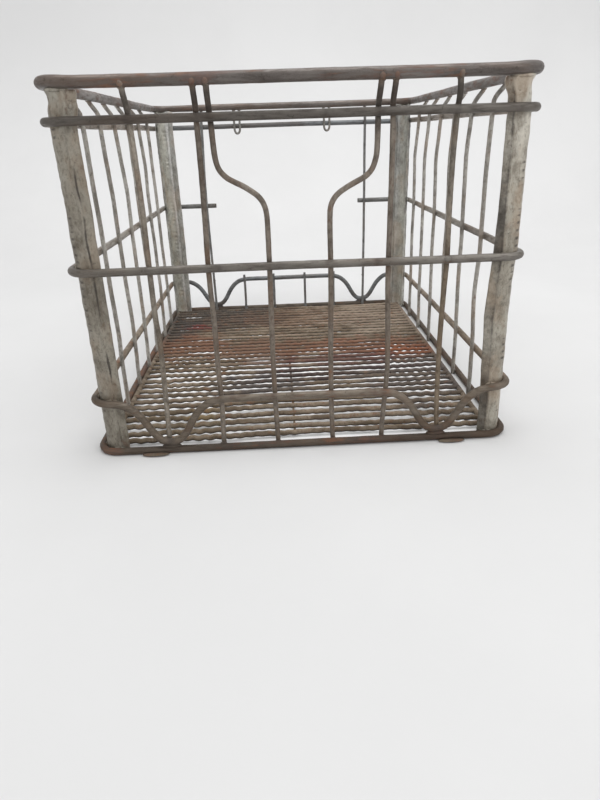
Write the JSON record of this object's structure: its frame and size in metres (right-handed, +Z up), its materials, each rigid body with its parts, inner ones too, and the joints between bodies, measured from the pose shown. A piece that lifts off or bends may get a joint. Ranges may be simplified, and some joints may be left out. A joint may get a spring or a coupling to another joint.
{
  "type": "milk bottle crate",
  "caption": "Open-topped welded wire crate for carrying and stacking milk bottles, with pressed corner posts, a hand opening in the front and a woven wire floor.",
  "frame": {"origin": "middle of the crate on the plane it stands on", "axes": "+Z up, +Y to the back; the side with the hand opening faces -Y, +X is to the right as seen from in front"},
  "size_m": [0.344, 0.4305, 0.2769],
  "materials": {
    "rim_steel": "weathered zinc over round bar, rusting in patches",
    "hoop_steel": "weathered zinc, dull grey-brown, darker at the welds",
    "post_steel": "dull tan-grey pressed sheet with pressed beads, rusty along the inner edge",
    "wire_steel": "weathered wire, nearly black at the welds under the rim",
    "rear_steel": "weathered zinc, cooler grey",
    "floor_steel": "rusty woven wire, orange-brown to dark grey",
    "lug_steel": "rusty plate"
  },
  "bodies": {
    "root": {"top_rim": "rim_steel", "upper_ring": "hoop_steel", "middle_ring": "hoop_steel", "wavy_ring": "hoop_steel", "bottom_ring": "hoop_steel", "corner_post_front_left": "post_steel", "corner_post_front_right": "post_steel", "corner_post_rear_left": "post_steel", "corner_post_rear_right": "post_steel", "front_wire_outer_left": "wire_steel", "front_wire_mid_left": "wire_steel", "hand_wire_left": "wire_steel", "hand_wire_right": "wire_steel", "front_wire_mid_right": "wire_steel", "front_wire_outer_right": "wire_steel", "side_wire_left_1": "wire_steel", "side_wire_left_2": "wire_steel", "side_wire_left_3": "wire_steel", "side_wire_left_4": "wire_steel", "side_wire_left_5": "wire_steel", "side_wire_left_6": "wire_steel", "side_wire_right_1": "wire_steel", "side_wire_right_2": "wire_steel", "side_wire_right_3": "wire_steel", "side_wire_right_4": "wire_steel", "side_wire_right_5": "wire_steel", "side_wire_right_6": "wire_steel", "rear_wire_left": "rear_steel", "rear_wire_right": "rear_steel", "rim_strut_left": "rear_steel", "rim_strut_right": "rear_steel", "rear_short_wire_1": "rear_steel", "rear_short_wire_2": "rear_steel", "rear_short_wire_3": "rear_steel", "rear_short_wire_4": "rear_steel", "floor_mat": "floor_steel", "stacking_lug_left": "lug_steel", "stacking_lug_right": "lug_steel"}
  },
  "joints": []
}
